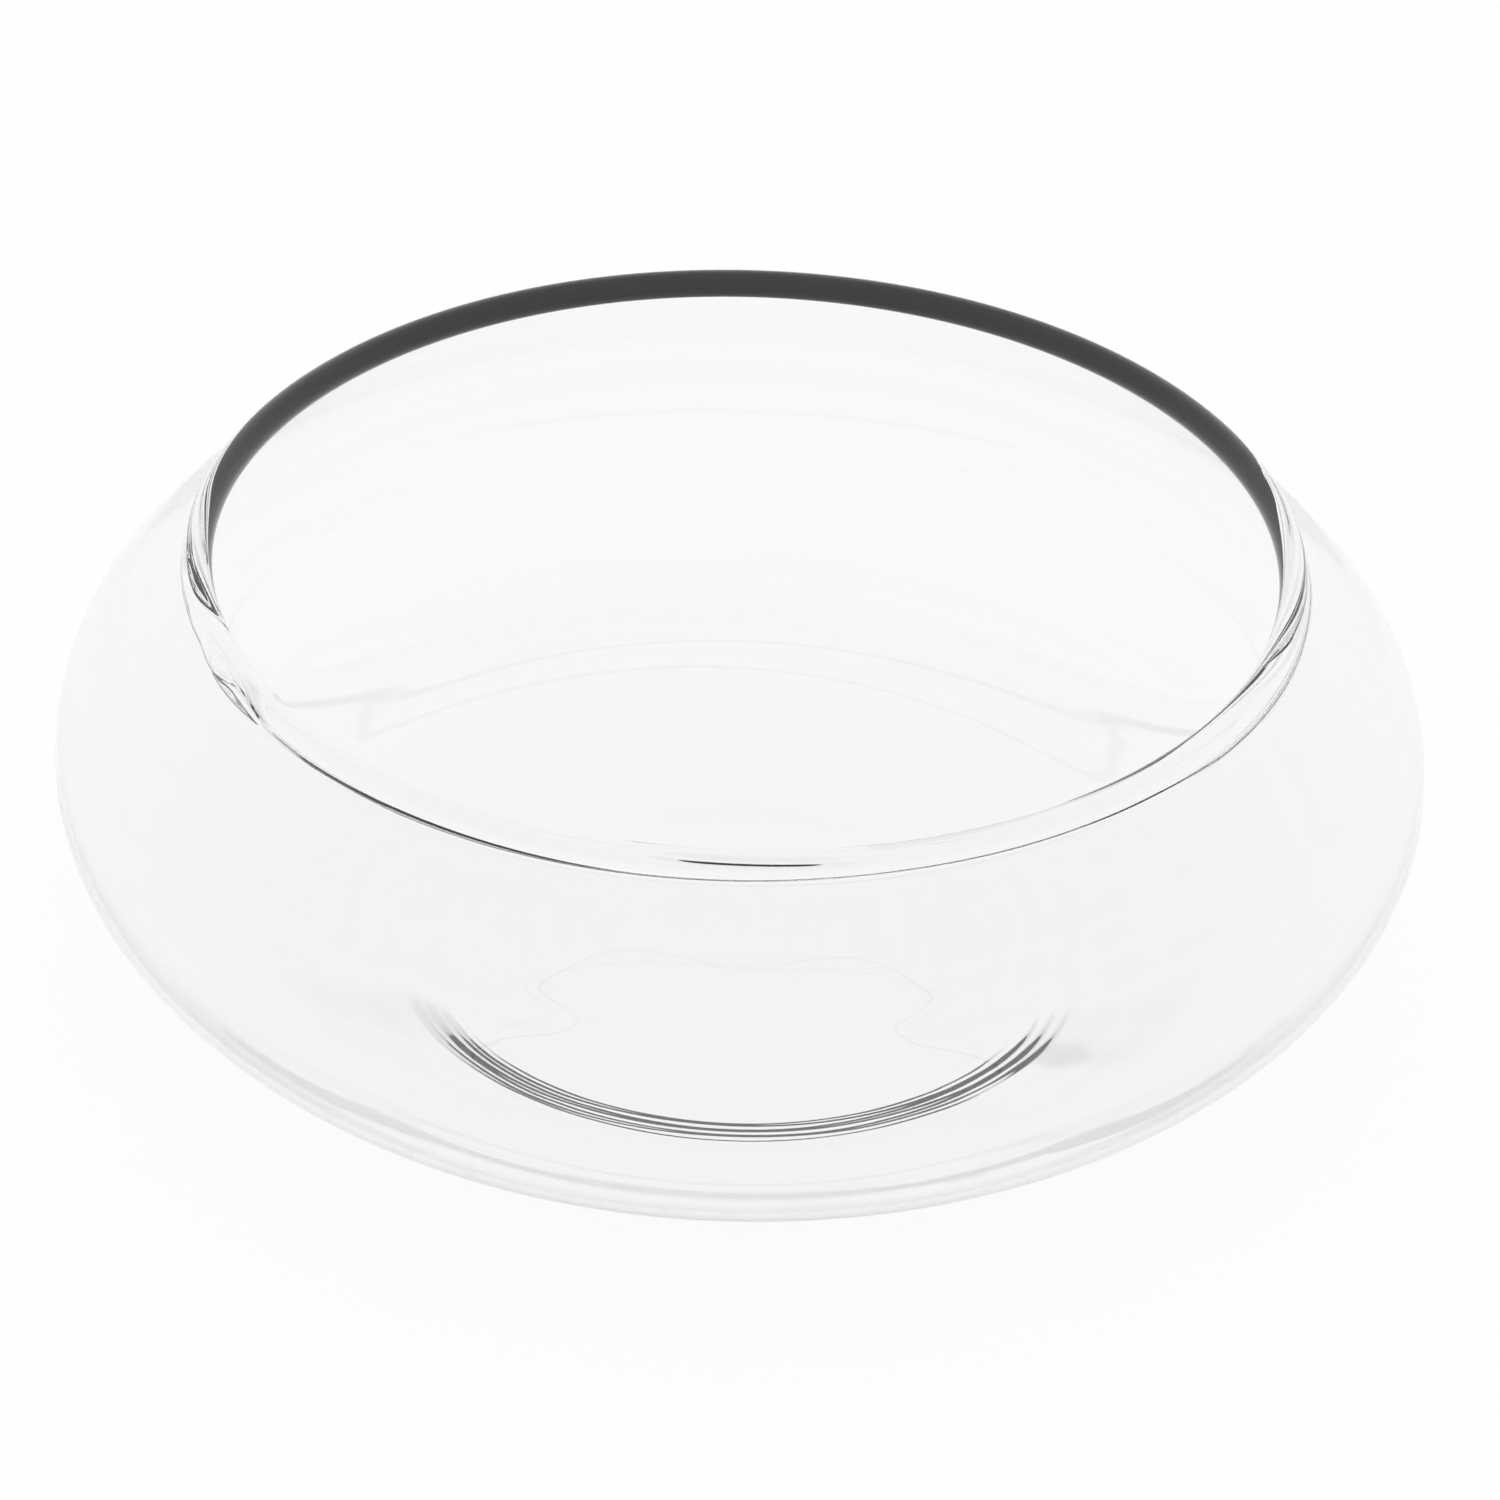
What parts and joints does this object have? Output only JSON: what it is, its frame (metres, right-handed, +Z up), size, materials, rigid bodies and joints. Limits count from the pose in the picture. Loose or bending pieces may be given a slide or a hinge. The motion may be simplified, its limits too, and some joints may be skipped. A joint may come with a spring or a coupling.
{
  "type": "floating candle bowl",
  "caption": "Low clear blown-glass bowl with a wide belly, inward shoulder and thick rounded lip, for water and floating candles.",
  "frame": {"origin": "centre of the resting ring, on the surface that the bowl stands on", "axes": "+Z up along the bowl's axis, -Y towards the front that the picture shows, +X to that view's right"},
  "size_m": [0.254, 0.254, 0.0903],
  "materials": {
    "glass_body": "clear polished",
    "glass_lip": "clear fire-polished"
  },
  "bodies": {
    "root": {"bowl_body": "glass_body", "rim_bead": "glass_lip"}
  },
  "joints": []
}
